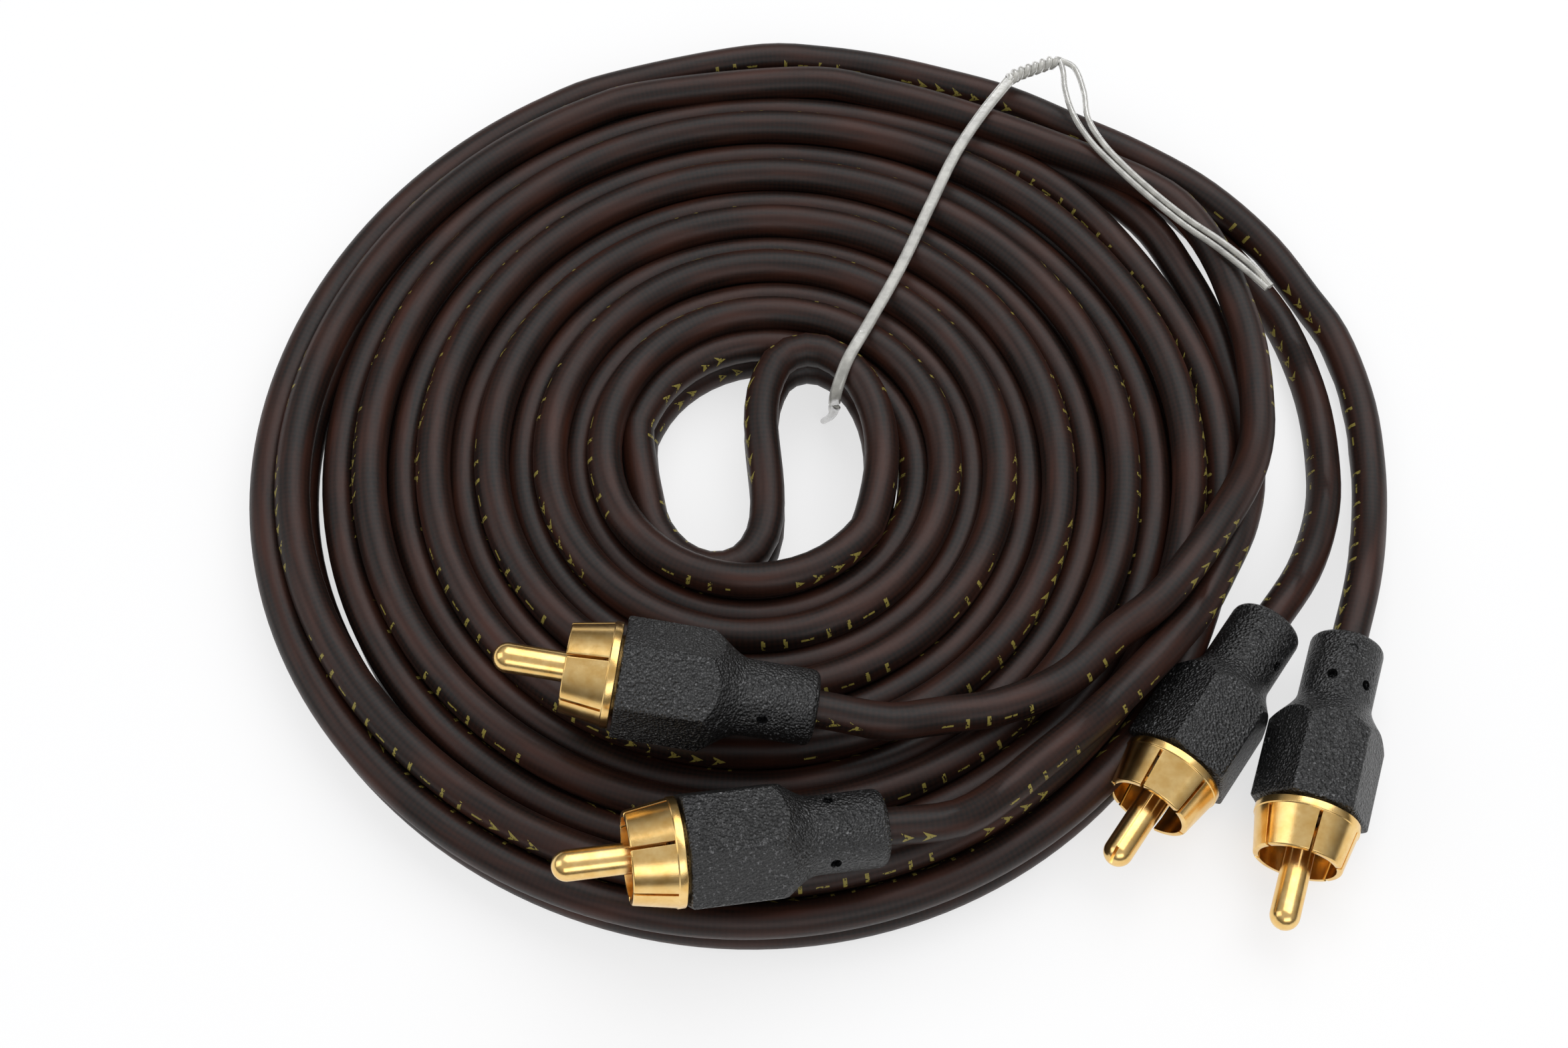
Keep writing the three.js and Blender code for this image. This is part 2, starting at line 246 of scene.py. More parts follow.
def spiral_point(turns, half, level):
    """Middle of a lead that many turns out. The high half starts at the far side, the low at the near."""
    radius = FIRST_RADIUS + TURN_SPACING * turns + LOOSENING * turns ** 2
    start = 90 if half == "high" else 270
    azimuth = (start - 360 * turns) % 360
    side = (azimuth + 180) % 360 - 180
    # the turns lie looser at the right, and the outermost slit at the left is open
    radius += 1.5 * bell(side, 14, 23) * max(0, (turns - 3) / 2.7) ** 2
    slack = 1.3 * bell(turns, 5.75, 0.3) if half == "high" else 0.9 * bell(turns, 6.25, 0.3)
    radius += slack * bell(azimuth, 188, 30)
    # at the far right the outer turns close up again
    radius += 1.7 * bell(side, 48, 15) * bell(turns, 5.65, 0.45)
    if half == "low" and turns > 6:
        radius += 1.3 * bell(side, 78, 28)
    seed = (1 if half == "high" else 4) + (0 if level == "upper" else 9)
    radius += wander(turns, seed, 0.10)
    height = (HIGH if half == "high" else LOW)[level]
    if half == "high":
        # the first turn climbs over the crossing
        height += bell(turns, 0.45, 0.35)
    height += abs(wander(turns, seed + 3, 0.08))
    angle = math.radians(azimuth)
    return (radius * math.cos(angle), radius * math.sin(angle), height)


def spiral(half, level, first, last):
    count = round((last - first) * TURN_STATIONS)
    return [spiral_point(first + (last - first) * k / count, half, level) for k in range(count + 1)]


# the S through the eye, from the high half to the low half: x, y and the drop from the high level
CROSSING = [
    (14.0, 0.1, -0.4), (12.9, 7.0, -0.8), (10.2, 11.4, -1.0), (6.2, 13.7, -1.0), (2.5, 12.7, -0.8),
    (0.6, 9.4, -0.3), (0.0, 5.5, 0.3), (0.2, 2.2, 0.6), (0.6, -1.4, 1.0), (0.8, -5.5, 1.5),
    (0.3, -9.2, 1.8), (-1.7, -12.3, 2.0), (-5.1, -13.5, 2.0), (-9.1, -12.0, 2.0), (-12.0, -8.4, 2.0),
    (-13.1, -4.5, 2.0),
]


def crossing(level):
    return [(x, y, HIGH[level] - drop) for x, y, drop in CROSSING]


# where the high half swings out of the coil, on its way to plugs 1 and 2
HIGH_SWING = {
    "upper": [(7.3, 53.8, 8.0), (14.0, 52.3, 8.0), (20.8, 50.2, 8.0), (27.9, 47.4, 8.0),
              (35.0, 44.3, 8.0), (42.4, 40.7, 8.0), (47.0, 38.2, 8.0), (50.6, 35.4, 8.0),
              (53.7, 30.7, 8.0), (55.6, 25.9, 8.0), (56.8, 21.1, 8.0), (57.7, 16.4, 8.0),
              (58.0, 11.8, 8.0), (57.9, 7.3, 8.0), (57.5, 3.1, 8.3), (56.2, -1.4, 9.2),
              (53.9, -6.2, 10.8)],
    "lower": [(7.3, 53.8, 4.0), (14.0, 52.1, 4.0), (20.7, 49.6, 4.0), (27.5, 46.4, 4.1),
              (34.8, 43.6, 4.4), (41.5, 40.0, 4.8), (45.4, 36.6, 5.0), (48.4, 32.9, 5.0),
              (51.2, 27.2, 5.0), (53.2, 22.6, 4.8), (54.6, 18.4, 4.6), (55.7, 13.4, 4.3),
              (56.7, 7.6, 4.1), (57.0, 2.2, 4.2), (56.4, -2.8, 5.0), (55.2, -6.8, 6.6),
              (53.7, -10.5, 8.4), (51.3, -15.1, 9.6), (48.6, -19.9, 10.2), (44.6, -24.9, 11.3)],
}
# where the low half leaves the coil, on its way to plugs 3 and 4
LOW_SWING = {
    "upper": [(0.0, 59.1, 6.0), (7.7, 58.7, 6.0), (15.1, 57.4, 6.0), (22.6, 55.2, 6.1), (31.0, 52.2, 6.2)],
    "lower": [(0.0, 59.1, 2.0), (7.7, 58.7, 2.0), (15.1, 57.4, 2.0), (22.6, 55.2, 2.0), (31.0, 52.4, 2.0)],
}
# the loose ends, as in the CAD model
TAILS = {
    1: [(50.6, -11.5, 12.3), (47.9, -15.4, 13.0), (43.3, -20.8, 13.0), (38.5, -24.4, 12.3),
        (33.3, -29.2, 12.0), (26.0, -32.6, 12.1), (18.8, -34.0, 12.8)],
    2: [(40.5, -29.4, 12.0), (36.7, -33.1, 12.0), (32.9, -36.3, 12.0), (29.2, -39.3, 12.0),
        (25.8, -42.2, 12.2)],
    3: [(39.5, 48.2, 2.0), (46.6, 43.9, 2.0), (54.4, 35.9, 2.0), (61.6, 25.0, 2.0), (63.8, 20.2, 2.0),
        (66.0, 10.8, 2.05), (66.2, 1.7, 2.4), (65.0, -5.2, 3.8)],
    4: [(39.4, 47.6, 6.3), (46.8, 43.5, 6.3), (54.8, 38.3, 5.6), (62.3, 31.9, 3.3), (66.7, 25.2, 2.2),
        (69.4, 20.2, 2.0), (71.5, 10.8, 2.05), (71.6, 1.7, 2.2), (70.4, -6.5, 3.4)],
}


def tail(number):
    """From the coil into a plug's neck, from the eye in millimetres."""
    stations = (-2 * NECK_RADIUS, -0.3, JACKET_DEPTH / 2, JACKET_DEPTH)
    return TAILS[number] + [tuple(plug_point(number, x) - EYE) for x in stations]


def whole_lead(level, first_plug, last_plug):
    out = spiral("high", level, *HIGH_TURNS) + HIGH_SWING[level] + tail(first_plug)
    back = spiral("low", level, *LOW_TURNS) + LOW_SWING[level] + tail(last_plug)
    return out[::-1] + crossing(level) + back


SHARP_EDGE = 40                 # degrees: steeper edges stay sharp


def piece(name, points, faces, look, uvs):
    """A new object from points in metres. uvs gives one pair for each corner of each face."""
    mesh = bpy.data.meshes.new(name)
    mesh.from_pydata([tuple(p) for p in points], [], faces)
    layer = mesh.uv_layers.new(name="run")
    layer.data.foreach_set("uv", [value for face in uvs for pair in face for value in pair])
    mesh.materials.append(look)
    mesh.update()
    mesh.shade_smooth()
    mesh.set_sharp_from_angle(angle=math.radians(SHARP_EDGE))
    made = bpy.data.objects.new(name, mesh)
    bpy.context.scene.collection.objects.link(made)
    return made


def smooth_path(points, step):
    """Centripetal Catmull-Rom curve through the points, in equal steps."""
    line = [Vector(p) for p in points]
    line = [2 * line[0] - line[1]] + line + [2 * line[-1] - line[-2]]
    fine = []
    for a, b, c, d in zip(line, line[1:], line[2:], line[3:]):
        t1 = (b - a).length ** 0.5
        t2 = t1 + (c - b).length ** 0.5
        t3 = t2 + (d - c).length ** 0.5
        pieces_here = max(2, math.ceil((c - b).length / (step / 4)))
        for k in range(pieces_here):
            t = t1 + (t2 - t1) * k / pieces_here
            ab = a * ((t1 - t) / t1) + b * (t / t1)
            bc = b * ((t2 - t) / (t2 - t1)) + c * ((t - t1) / (t2 - t1))
            cd = c * ((t3 - t) / (t3 - t2)) + d * ((t - t2) / (t3 - t2))
            abc = ab * ((t2 - t) / t2) + bc * (t / t2)
            bcd = bc * ((t3 - t) / (t3 - t1)) + cd * ((t - t1) / (t3 - t1))
            fine.append(abc * ((t2 - t) / (t2 - t1)) + bcd * ((t - t1) / (t2 - t1)))
    fine.append(line[-2])
    total = sum((b - a).length for a, b in zip(fine, fine[1:]))
    count = max(2, round(total / step))
    even, walked, wanted = [fine[0]], 0.0, total / count
    for a, b in zip(fine, fine[1:]):
        span = (b - a).length
        while walked + span >= wanted * len(even) - 1e-9 and len(even) < count:
            even.append(a.lerp(b, (wanted * len(even) - walked) / span))
        walked += span
    even.append(fine[-1])
    return even, total


def frames(path):
    """Forward, right and up directions at each point of a path that is never upright."""
    made = []
    for k, _ in enumerate(path):
        forward = (path[min(k + 1, len(path) - 1)] - path[max(k - 1, 0)]).normalized()
        right = forward.cross(Vector((0, 0, 1))).normalized()
        made.append((forward, right, right.cross(forward)))
    return made


def tube_mesh(path, outline, step):
    """Points, faces and UVs in millimetres of a tube: outline(k) gives its ring of (right, up) offsets."""
    points, faces, uvs = [], [], []
    axes = frames(path)
    sides = len(outline(0))
    around = [0.0]
    ring = [Vector((*p, 0)) for p in outline(len(path) // 2)]
    for a, b in zip(ring, ring[1:] + ring[:1]):
        around.append(around[-1] + (b - a).length)
    for k, place in enumerate(path):
        _, right, up = axes[k]
        points += [place + right * x + up * y for x, y in outline(k)]
    for k in range(len(path) - 1):
        for j in range(sides):
            a, b = k * sides + j, k * sides + (j + 1) % sides
            faces.append((a, b, b + sides, a + sides))
            s0, s1 = k * step, (k + 1) * step
            uvs.append(((s0, around[j]), (s0, around[j + 1]), (s1, around[j + 1]), (s1, around[j])))
    for start, order in ((0, -1), ((len(path) - 1) * sides, 1)):
        cap = [start + j for j in range(sides)][::order]
        faces.append(tuple(cap))
        uvs.append(tuple((0.0, 0.0) for _ in cap))
    return points, faces, uvs


TORN_LENGTH = 110.0
TORN_FADE = 30.0
NECK_FADE = 14.0                # the ridge is trimmed away where the plug was moulded on
RIDGE_HEIGHT = 0.3
RIDGE_WIDTH = math.radians(13)
# where round each lead the ridge is: 0 at its right, 90 on top
WEB_TURNS = {"upper": 320, "lower": 90}


def webbed_ring(k, count, level):
    """Ring of a lead, with the remains of the web where it was torn apart."""
    web = math.radians(WEB_TURNS[level])
    to_end = min(k, count - 1 - k) * LEAD_STEP
    torn = min(1, max(0, (TORN_LENGTH - to_end) / TORN_FADE)) * min(1, to_end / NECK_FADE)
    ragged = 0.5 + 0.3 * math.sin(k * 1.9) + 0.2 * math.sin(k * 0.73 + 1)
    ring = []
    for j in range(LEAD_SIDES):
        angle = 2 * math.pi * j / LEAD_SIDES
        away = (angle - web + math.pi) % (2 * math.pi) - math.pi
        radius = LEAD_RADIUS + RIDGE_HEIGHT * torn * ragged * bell(away, 0, RIDGE_WIDTH)
        ring.append((radius * math.cos(angle), radius * math.sin(angle)))
    return ring


BODY = "root"


def lead(name, level, first_plug, last_plug):
    path, length = smooth_path(whole_lead(level, first_plug, last_plug), LEAD_STEP)
    points, faces, uvs = tube_mesh(path, lambda k: webbed_ring(k, len(path), level), LEAD_STEP)
    made = piece(name, metres(points), faces, jacket, uvs)
    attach(made, BODY)
    ends = (first_plug, last_plug)
    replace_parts(made, "cable_coil", f"cable_crossing_{level}", *[f"cable_tail_{n}" for n in ends],
                *[f"plug_{n}_jacket_end" for n in ends])
    return made, path, length


ENDS = {"upper": (1, 4), "lower": (2, 3)}
LEADS = {level: lead(f"lead_{level}", level, *ends) for level, ends in ENDS.items()}


# Plug boots

# Black vinyl moulded over each soldered joint: a round neck with small vent holes, a domed step
# and a hexagon to grip.  The steel mould was spark-eroded, which leaves a fine glittering grain.
PIT_WIDTH = 0.3                 # of the eroded pits
WAVE_WIDTH = 0.5                # of the broader unevenness under them
GRAIN_DEPTH = 0.22
# size of the specks of painted glint
GLINT_SPECK = 0.35
CLOUD_WIDTH = 5.0


def moulded_vinyl():
    """Near black, its grain breaking the highlights up, with painted glints of pale grey on single grains."""
    look = material("black_vinyl", "#111112", 0.4, Specular_IOR_Level=0.6)
    place = millimetres(look)
    pits = add(look, "TexVoronoi", {"Vector": place, "Scale": 1 / PIT_WIDTH})
    waves = add(look, "TexNoise", {"Vector": place, "Scale": 1 / WAVE_WIDTH, "Detail": 3.0, "Roughness": 0.6})
    pitted = add(look, "Math", {0: pits, 1: 0.7}, operation="MULTIPLY")
    height = add(look, "Math", {0: waves, 1: 0.6, 2: pitted}, operation="MULTIPLY_ADD")
    join(look, add(look, "Bump", {"Height": height, "Distance": GRAIN_DEPTH * MM}), "Normal")
    gloss = add(look, "TexNoise", {"Vector": place, "Scale": 1 / PIT_WIDTH})
    join(look, add(look, "Math", {0: gloss, 1: 0.3, 2: 0.22}, operation="MULTIPLY_ADD"), "Roughness")
    # painted glints: pale grey specks on single grains stand in for sparkles of light
    specks = add(look, "TexNoise", {"Vector": place, "Scale": 1 / GLINT_SPECK, "Roughness": 0.7})
    glint_share = add(look, "MapRange", {"Value": specks, "From Min": 0.6, "From Max": 0.7})
    painted_glints = add(look, "Mix", {0: glint_share, 6: colour("#101010"), 7: colour("#6a6a6b")}, 2, data_type="RGBA")
    broad = add(look, "TexNoise", {"Vector": place, "Scale": 1 / CLOUD_WIDTH, "Detail": 3.0})
    pale = add(look, "MapRange", {"Value": broad, "From Min": 0.35, "From Max": 0.7})
    cloud = add(look, "Mix", {0: pale, 6: colour("#0a0a0a"), 7: colour("#121213")}, 2, data_type="RGBA")
    shade = add(look, "Mix", {0: 0.8, 6: cloud, 7: painted_glints}, 2, data_type="RGBA", blend_type="LIGHTEN")
    join(look, shade, "Base Color")
    return look


vinyl = moulded_vinyl()

NECK_LENGTH = 7.4
STEP_LENGTH = 5.6
BODY_LENGTH = 20.9
HEX_FLATS = 11.3
HEX_CORNER = HEX_FLATS / math.sqrt(3)
HEX_EDGE = 0.28                 # rounding of the hexagon's edges
HEX_EDGE_SEGMENTS = 4
REAR_EDGE = 0.9                 # rounding of the neck's rear rim
DOME_RINGS = 22
DOME_SPARE = 0.3                # the turned form is wider than the hexagon by this
BEYOND = 1.0                    # how far a cutting form stands out
ROUND_SIDES = 96


def turned_bar(name, rings, sides=ROUND_SIDES):
    """A round bar along +X: a disc is added at the first (station, radius) and drawn out ring by ring."""
    bpy.ops.object.select_all(action="DESELECT")
    x, radius = rings[0]
    bpy.ops.mesh.primitive_circle_add(vertices=sides, radius=radius * MM, fill_type="NGON",
                                      location=(x * MM, 0, 0), rotation=(0, math.pi / 2, 0))
    bar = bpy.context.object
    bar.name = name
    bpy.ops.object.transform_apply(location=True, rotation=True, scale=True)
    bpy.ops.object.mode_set(mode="EDIT")
    bpy.ops.mesh.select_all(action="SELECT")
    for (x0, r0), (x1, r1) in zip(rings, rings[1:]):
        bpy.ops.mesh.extrude_region_move(TRANSFORM_OT_translate={"value": ((x1 - x0) * MM, 0, 0)})
        bpy.ops.transform.resize(value=(1, r1 / r0, r1 / r0), center_override=(x1 * MM, 0, 0))
    bpy.ops.mesh.select_all(action="SELECT")
    bpy.ops.mesh.normals_make_consistent(inside=False)
    bpy.ops.object.mode_set(mode="OBJECT")
    return bar


def apply_modifiers(made, sharp=SHARP_EDGE):
    bpy.ops.object.select_all(action="DESELECT")
    bpy.context.view_layer.objects.active = made
    made.select_set(True)
    for modifier in list(made.modifiers):
        bpy.ops.object.modifier_apply(modifier=modifier.name)
    made.data.set_sharp_from_angle(angle=math.radians(sharp))
    made.select_set(False)


def carve(body, tool, operation="DIFFERENCE"):
    """Cuts the body with the tool, which is then thrown away."""
    cut = body.modifiers.new("cut", "BOOLEAN")
    cut.operation = operation
    cut.solver = "EXACT"
    cut.object = tool
    apply_modifiers(body)
    bpy.data.objects.remove(tool)


def finish_smooth(body, angle):
    """Smooth shading that keeps edges sharper than the angle."""
    bpy.ops.object.select_all(action="DESELECT")
    bpy.context.view_layer.objects.active = body
    body.select_set(True)
    bpy.ops.object.shade_smooth_by_angle(angle=math.radians(angle))
    body.select_set(False)


def set_in_place(form, number, name, look, turn=0.0):
    """A copy of a form, turned about its axis and set on a plug's place in its own mesh."""
    made = bpy.data.objects.new(name, form.data.copy())
    bpy.context.scene.collection.objects.link(made)
    place = Matrix.Translation(plug_point(number, 0) * MM) @ plug_turn(number).to_4x4()
    made.data.transform(place @ Matrix.Rotation(math.radians(turn), 4, "X"))
    made.data.materials.clear()
    made.data.materials.append(look)
    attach(made, BODY)
    return made


def hexagon_bar():
    bpy.ops.object.select_all(action="DESELECT")
    bpy.ops.mesh.primitive_cylinder_add(
        vertices=6, radius=HEX_CORNER * MM, depth=(BODY_LENGTH + BEYOND) * MM,
        location=((BODY_LENGTH - BEYOND) / 2 * MM, 0, 0), rotation=(0, math.pi / 2, 0))
    bar = bpy.context.object
    bpy.ops.object.transform_apply(location=True, rotation=True, scale=True)
    # corners at 0, 60, 120 degrees and on from the plug's own Y
    corner = max(bar.data.vertices, key=lambda v: v.co.y).co
    bar.data.transform(Matrix.Rotation(-math.atan2(corner.z, corner.y), 4, "X"))
    bpy.ops.object.mode_set(mode="EDIT")
    bpy.ops.mesh.select_all(action="SELECT")
    bpy.ops.mesh.bevel(offset=HEX_EDGE * MM, segments=HEX_EDGE_SEGMENTS, affect="EDGES")
    bpy.ops.object.mode_set(mode="OBJECT")
    return bar


def boot_outline():
    """Rounded rear rim, neck, and the domed step up to the hexagon's corners."""
    rim = [math.radians(a) for a in (25, 45, 65, 90)]
    rings = [(0, NECK_RADIUS - REAR_EDGE)]
    rings += [(REAR_EDGE * (1 - math.cos(a)), NECK_RADIUS - REAR_EDGE * (1 - math.sin(a))) for a in rim]
    rings.append((NECK_LENGTH, NECK_RADIUS))
    full = HEX_CORNER + DOME_SPARE
    for k in range(1, DOME_RINGS + 1):
        share = k / DOME_RINGS
        rise = share * share * (3 - 2 * share)
        rings.append((NECK_LENGTH + STEP_LENGTH * share, NECK_RADIUS + (full - NECK_RADIUS) * rise))
    rings.append((BODY_LENGTH + BEYOND, full))
    return turned_bar("outline", rings)


BORE_RADIUS = 2.08
CHAMBER_RADIUS = 3.7
CHAMBER_START = 8.3
SEAT_STATION = 12.5
SEAT_RADIUS = 4.34
BORE_STEP = 0.01                # a square step in the bore is a very short cone


def boot_form():
    form = boot_outline()
    carve(form, hexagon_bar(), "INTERSECT")
    carve(form, turned_bar("bore", [
        (-BEYOND, BORE_RADIUS), (CHAMBER_START, BORE_RADIUS), (CHAMBER_START + BORE_STEP, CHAMBER_RADIUS),
        (SEAT_STATION, CHAMBER_RADIUS), (SEAT_STATION + BORE_STEP, SEAT_RADIUS),
        (BODY_LENGTH + BEYOND, SEAT_RADIUS)]))
    return form


# vent holes of each plug: station along the neck, turn from the hexagon's first corner, depth
VENT_RADIUS = 0.58
DRILL_LENGTH = 2.0
DRILL_SIDES = 24
VENTS = {
    1: [(5.6, 0, 1.3), (5.6, 180, 1.3)],
    2: [(5.9, 120, 1.3), (5.9, 14, 1.3), (4.7, 68, 0.12), (5.9, 240, 1.3)],
    3: [(5.1, -8, 1.3), (3.9, 52, 0.15), (5.1, 172, 1.3)],
    4: [(5.8, 114, 1.3), (5.8, 56, 1.3), (2.3, 92, 0.15), (5.8, 236, 1.3)],
}


def vent_tool(station, turn, depth):
    angle = math.radians(turn)
    reach = NECK_RADIUS - depth + DRILL_LENGTH / 2
    bpy.ops.object.select_all(action="DESELECT")
    bpy.ops.mesh.primitive_cylinder_add(
        vertices=DRILL_SIDES, radius=VENT_RADIUS * MM, depth=DRILL_LENGTH * MM,
        location=(station * MM, reach * math.cos(angle) * MM, reach * math.sin(angle) * MM),
        rotation=(angle - math.pi / 2, 0, 0))
    return bpy.context.object


PLUGS = (1, 2, 3, 4)
BOOT_SMOOTH = 14                # degrees

boot = boot_form()
for n in PLUGS:
    drilled = bpy.data.objects.new("drilled", boot.data.copy())
    bpy.context.scene.collection.objects.link(drilled)
    for vent in VENTS[n]:
        carve(drilled, vent_tool(*vent))
    finish_smooth(drilled, BOOT_SMOOTH)
    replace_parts(set_in_place(drilled, n, f"boot_{n}", vinyl), f"plug_{n}_boot")
    bpy.data.objects.remove(drilled)
bpy.data.objects.remove(boot)


# Gold shells

# Turned brass, plated with gold over nickel: a base ring and a cone sawn into six springy petals.
# A tube behind the ring is gripped by the moulding.
HANDLED_PATCH = 1.6
TOOL_MARK = 0.12
TOOL_DEPTH = 0.005


def gold_plate():
    """Bright, its reflections running pale yellow to brown, dulled in patches by handling."""
    look = material("gold_plate", "#eec67c", 0.2, Metallic=1.0)
    place = millimetres(look)
    cloud = add(look, "TexNoise", {"Vector": place, "Scale": 1 / HANDLED_PATCH, "Detail": 4.0,
                                   "Roughness": 0.6})
    share = add(look, "MapRange", {"Value": cloud, "From Min": 0.3, "From Max": 0.75})
    shade = add(look, "Mix", {0: share, 6: colour("#e8ba6c"), 7: colour("#f8d694")}, 2, data_type="RGBA")
    join(look, shade, "Base Color")
    join(look, add(look, "Math", {0: cloud, 1: 0.14, 2: 0.15}, operation="MULTIPLY_ADD"), "Roughness")
    marks = add(look, "TexNoise", {"Vector": place, "Scale": 1 / TOOL_MARK, "Detail": 3.0, "Roughness": 0.6})
    join(look, add(look, "Bump", {"Height": marks, "Distance": TOOL_DEPTH * MM}), "Normal")
    return look


gold = gold_plate()

SHELL_START = 21.2
SHELL_FRONT = 26.6
RING_LENGTH = 0.95
BASE_RADIUS = 5.65
CONE_RADIUS = 5.53              # the cone starts a little inside the ring
MOUTH_RADIUS = 4.75
SHELL_WALL = 0.6
TAIL_RADIUS = 4.3
TAIL_BORE = 3.7
TAIL_LENGTH = 5.4
SLOT_WIDTH = 0.35
SLOT_LENGTH = 4.4
EDGE = 0.06                     # rounding of the sawn and turned edges
EDGE_SEGMENTS = 2
EDGE_ANGLE = 30                 # degrees: flatter edges aren't rounded
SHELL_SMOOTH = 32               # degrees: flatter edges are shaded smooth
RING_EDGE = 0.1
MOUTH_EDGE = 0.12
SQUARE_STEP = 0.001             # a square step of a turned form is a very short cone
SHELL_SIDES = 90


def rounded(made, width, segments, angle):
    edge = made.modifiers.new("edge", "BEVEL")
    edge.width = width * MM
    edge.segments = segments
    edge.angle_limit = math.radians(angle)
    apply_modifiers(made, angle)


def shell_form():
    ring_end = SHELL_START + RING_LENGTH
    form = turned_bar("shell", [
        (SHELL_START - TAIL_LENGTH, TAIL_RADIUS), (SHELL_START, TAIL_RADIUS),
        (SHELL_START + SQUARE_STEP, BASE_RADIUS - RING_EDGE), (SHELL_START + RING_EDGE, BASE_RADIUS),
        (ring_end - RING_EDGE, BASE_RADIUS), (ring_end, CONE_RADIUS),
        (SHELL_FRONT - MOUTH_EDGE, MOUTH_RADIUS), (SHELL_FRONT, MOUTH_RADIUS - MOUTH_EDGE)], SHELL_SIDES)
    carve(form, turned_bar("bore", [
        (SHELL_START - TAIL_LENGTH - BEYOND, TAIL_BORE), (ring_end, TAIL_BORE),
        (ring_end + SQUARE_STEP, CONE_RADIUS - SHELL_WALL),
        (SHELL_FRONT + SQUARE_STEP, MOUTH_RADIUS - SHELL_WALL),
        (SHELL_FRONT + BEYOND, MOUTH_RADIUS - SHELL_WALL)], SHELL_SIDES))
    for k in range(3):
        bpy.ops.object.select_all(action="DESELECT")
        bpy.ops.mesh.primitive_cube_add(
            size=MM, scale=(SLOT_LENGTH + BEYOND, 4 * BASE_RADIUS, SLOT_WIDTH),
            location=((SHELL_FRONT - SLOT_LENGTH + (SLOT_LENGTH + BEYOND) / 2) * MM, 0, 0),
            rotation=(k * math.pi / 3, 0, 0))
        carve(form, bpy.context.object)
    return form


# turn of the first slot from the hexagon's first corner
SLOT_TURNS = {1: -14, 2: 14, 3: 8, 4: 28}

shell = shell_form()
rounded(shell, EDGE, EDGE_SEGMENTS, EDGE_ANGLE)
finish_smooth(shell, SHELL_SMOOTH)
for n in PLUGS:
    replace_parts(set_in_place(shell, n, f"shell_{n}", gold, SLOT_TURNS[n]),
                f"plug_{n}_ground_shell")
bpy.data.objects.remove(shell)


# Centre pins

# Rolled from thin brass and plated like the shells: a round barrel with a domed tip, and a seam
# along one side where the edges of the sheet meet.
PIN_RADIUS = 1.6
SHANK_RADIUS = 1.0
PIN_TAIL = 14.0
PIN_SHOULDER = 22.5
TIP_STATION = 34.2
SEAM_WIDTH = 0.18
SEAM_DEPTH = 0.2
SLIT_WIDTH = 0.32               # where the seam opens at the tip
SLIT_LENGTH = 1.5
SLIT_MIDDLE = 0.96              # its distance from the pin's axis
SEAM_SPARE = 0.4                # the seam's tool stands this far past the tip
PIN_EDGE = 0.1
PIN_SIDES = 72
PIN_SMOOTH = 30                 # degrees
# turn of the seam from the hexagon's first corner
SEAM_TURNS = {1: 200, 2: 220, 3: 58, 4: 250}


def pin_form():
    dome_start = TIP_STATION - PIN_RADIUS
    dome = [math.radians(a) for a in range(8, 89, 8)]
    form = turned_bar("pin", [
        (PIN_TAIL, SHANK_RADIUS), (PIN_SHOULDER, SHANK_RADIUS),
        (PIN_SHOULDER + SQUARE_STEP, PIN_RADIUS - PIN_EDGE),
        (PIN_SHOULDER + PIN_EDGE, PIN_RADIUS), (dome_start, PIN_RADIUS),
        *[(dome_start + PIN_RADIUS * math.sin(a), PIN_RADIUS * math.cos(a)) for a in dome]], PIN_SIDES)
    bpy.ops.object.select_all(action="DESELECT")
    bpy.ops.mesh.primitive_cube_add(
        size=MM, scale=(TIP_STATION - PIN_SHOULDER, 2 * SEAM_DEPTH, SEAM_WIDTH),
        location=((PIN_SHOULDER + TIP_STATION + SEAM_SPARE) / 2 * MM, PIN_RADIUS * MM, 0))
    carve(form, bpy.context.object)
    bpy.ops.object.select_all(action="DESELECT")
    bpy.ops.mesh.primitive_cube_add(
        size=MM, scale=(2 * SLIT_LENGTH, PIN_RADIUS, SLIT_WIDTH),
        location=(TIP_STATION * MM, SLIT_MIDDLE * MM, 0))
    carve(form, bpy.context.object)
    return form


pin = pin_form()
finish_smooth(pin, PIN_SMOOTH)
for n in PLUGS:
    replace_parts(set_in_place(pin, n, f"pin_{n}", gold, SEAM_TURNS[n]), f"plug_{n}_centre_pin")
bpy.data.objects.remove(pin)


# Inside the plugs

# A dark moulded bush holds each pin in its shell.  Behind it the stranded core and the screen's
# wire were soldered on.  All of them stay as the CAD nodes, with their own finishes.
def speckled(name, shade, other, roughness, patch, relief, **sockets):
    """Two shades in soft patches with a slight relief: moulded and dull, or drawn and bright."""
    look = material(name, shade, roughness, **sockets)
    cloud = add(look, "TexNoise", {"Vector": millimetres(look), "Scale": 1 / patch, "Detail": 3.0})
    share = add(look, "MapRange", {"Value": cloud, "From Min": 0.3, "From Max": 0.7})
    mixed = add(look, "Mix", {0: share, 6: colour(shade), 7: colour(other)}, 2, data_type="RGBA")
    join(look, mixed, "Base Color")
    join(look, add(look, "Bump", {"Height": cloud, "Distance": relief * MM}), "Normal")
    return look


bush_look = speckled("dark_insulator", "#1d130d", "#2c1c12", roughness=0.45, patch=0.5, relief=0.02)
wire_look = speckled("copper", "#b4633a", "#8e4526", roughness=0.3, patch=0.2, relief=0.03, Metallic=1.0)
for n in PLUGS:
    for part, look in (("insulator", bush_look), ("core_wire", wire_look), ("shield_wire", wire_look)):
        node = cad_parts[f"plug_{n}_{part}"]
        node.data.materials.clear()
        node.data.materials.append(look)


# Clear tie

# A soft clear strip with a groove along it: over the turns, twisted at the outer edge, with two
# thin ends that lie back along the coil and meet in a bend.
HAZE_PATCH = 1.4
RIPPLE_WIDTH = 0.6
RIPPLE_DEPTH = 0.05


